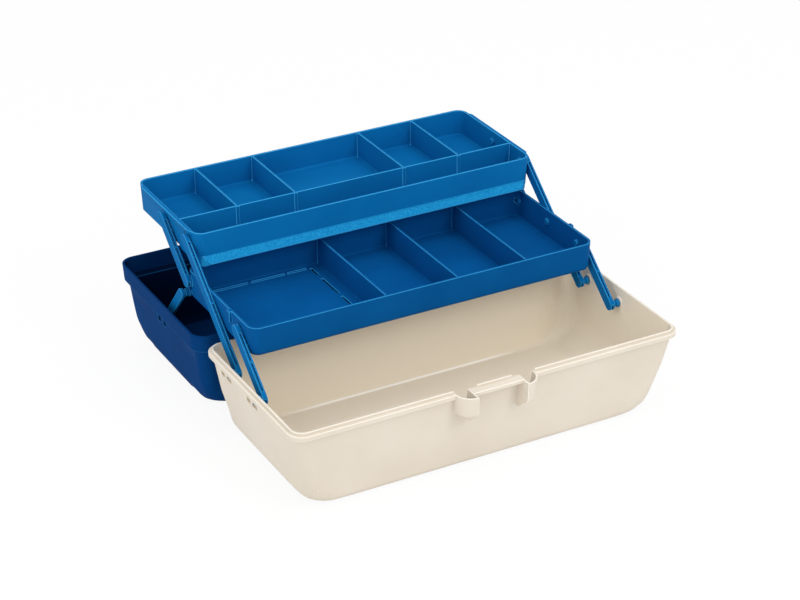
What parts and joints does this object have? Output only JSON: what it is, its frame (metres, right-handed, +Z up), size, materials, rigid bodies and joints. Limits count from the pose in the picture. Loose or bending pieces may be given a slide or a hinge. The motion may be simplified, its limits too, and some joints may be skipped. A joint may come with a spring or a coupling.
{
  "type": "fishing tackle cabinet",
  "caption": "Moulded cantilever tackle box, open: a tub, a lid laid open behind it, and compartment trays carried between them on swinging arms.",
  "frame": {"origin": "middle of the tub's flat underside, on the floor plane that the open lid also rests on", "axes": "+X along the box's length to its right end seen from the front, +Y from the tub's front towards the opened lid, +Z up"},
  "size_m": [0.4052, 0.4222, 0.1762],
  "materials": {
    "cream_shell": "satin",
    "navy_shell": "satin",
    "blue_moulding": "satin",
    "cream_moulding": "satin",
    "steel_pin": "satin"
  },
  "bodies": {
    "tub": {"base_tub": "cream_shell", "hinge_pin_left": "steel_pin", "hinge_pin_right": "steel_pin"},
    "lid": {"lid": "navy_shell", "latch_pin": "steel_pin"},
    "lower_tray": {"lower_tray": "blue_moulding", "link_stud_left": "blue_moulding", "link_stud_right": "blue_moulding"},
    "upper_tray": {"upper_tray": "blue_moulding"},
    "latch": {"latch": "cream_moulding"},
    "handle": {"handle": "cream_moulding"},
    "long_arm_left": {"long_arm_left": "blue_moulding"},
    "front_arm_left": {"front_arm_left": "blue_moulding"},
    "short_arm_left": {"short_arm_left": "blue_moulding"},
    "lid_link_left": {"lid_link_left": "blue_moulding"},
    "long_arm_right": {"long_arm_right": "blue_moulding"},
    "front_arm_right": {"front_arm_right": "blue_moulding"},
    "short_arm_right": {"short_arm_right": "blue_moulding"},
    "lid_link_right": {"lid_link_right": "blue_moulding"}
  },
  "joints": [
    {"name": "lid_hinge", "type": "hinge", "parent": "tub", "child": "lid", "pos_m": [0, 0.103, 0.0878], "axis": [1, 0, 0], "range_deg": [0, 180]},
    {"name": "long_arm_left_pivot", "type": "hinge", "parent": "tub", "child": "long_arm_left", "pos_m": [-0.1882, 0.0557, 0.076], "axis": [1, 0, 0], "range_deg": [0, 108.51]},
    {"name": "front_arm_left_pivot", "type": "hinge", "parent": "tub", "child": "front_arm_left", "pos_m": [-0.1882, 0.0017, 0.076], "axis": [1, 0, 0], "range_deg": [0, 108.51]},
    {"name": "long_arm_right_pivot", "type": "hinge", "parent": "tub", "child": "long_arm_right", "pos_m": [0.1882, 0.0557, 0.076], "axis": [1, 0, 0], "range_deg": [0, 108.51]},
    {"name": "front_arm_right_pivot", "type": "hinge", "parent": "tub", "child": "front_arm_right", "pos_m": [0.1882, 0.0017, 0.076], "axis": [1, 0, 0], "range_deg": [0, 108.51]},
    {"name": "lower_tray_pivot", "type": "hinge", "parent": "long_arm_left", "child": "lower_tray", "pos_m": [-0.1882, 0.10932, 0.121], "axis": [1, 0, 0], "range_deg": [-108.51, 0]},
    {"name": "upper_tray_pivot", "type": "hinge", "parent": "long_arm_left", "child": "upper_tray", "pos_m": [-0.1882, 0.16295, 0.16599], "axis": [1, 0, 0], "range_deg": [-108.51, 0]},
    {"name": "short_arm_left_pivot", "type": "hinge", "parent": "lower_tray", "child": "short_arm_left", "pos_m": [-0.1882, 0.16332, 0.121], "axis": [1, 0, 0], "range_deg": [0, 108.51]},
    {"name": "lid_link_left_pivot", "type": "hinge", "parent": "lid", "child": "lid_link_left", "pos_m": [-0.1882, 0.2079, 0.0612], "axis": [1, 0, 0], "range_deg": [0, 34.11]},
    {"name": "short_arm_right_pivot", "type": "hinge", "parent": "lower_tray", "child": "short_arm_right", "pos_m": [0.1882, 0.16332, 0.121], "axis": [1, 0, 0], "range_deg": [0, 108.51]},
    {"name": "lid_link_right_pivot", "type": "hinge", "parent": "lid", "child": "lid_link_right", "pos_m": [0.1882, 0.2079, 0.0612], "axis": [1, 0, 0], "range_deg": [0, 34.11]},
    {"name": "latch_pivot", "type": "hinge", "parent": "lid", "child": "latch", "pos_m": [0, 0.3065, 0.0787], "axis": [1, 0, 0], "range_deg": [0, 180]},
    {"name": "handle_pivot", "type": "hinge", "parent": "lid", "child": "handle", "pos_m": [0, 0.2416, 0.0044], "axis": [-1, 0, 0], "range_deg": [0, 90]}
  ],
  "couplings": [
    {"joint": "long_arm_left_pivot", "follows": "lid_hinge", "ratio": 0.60278},
    {"joint": "front_arm_left_pivot", "follows": "lid_hinge", "ratio": 0.60278},
    {"joint": "long_arm_right_pivot", "follows": "lid_hinge", "ratio": 0.60278},
    {"joint": "front_arm_right_pivot", "follows": "lid_hinge", "ratio": 0.60278},
    {"joint": "lower_tray_pivot", "follows": "lid_hinge", "ratio": -0.60278},
    {"joint": "upper_tray_pivot", "follows": "lid_hinge", "ratio": -0.60278},
    {"joint": "short_arm_left_pivot", "follows": "lid_hinge", "ratio": 0.60278},
    {"joint": "lid_link_left_pivot", "follows": "lid_hinge", "ratio": 0.18944},
    {"joint": "short_arm_right_pivot", "follows": "lid_hinge", "ratio": 0.60278},
    {"joint": "lid_link_right_pivot", "follows": "lid_hinge", "ratio": 0.18944}
  ]
}
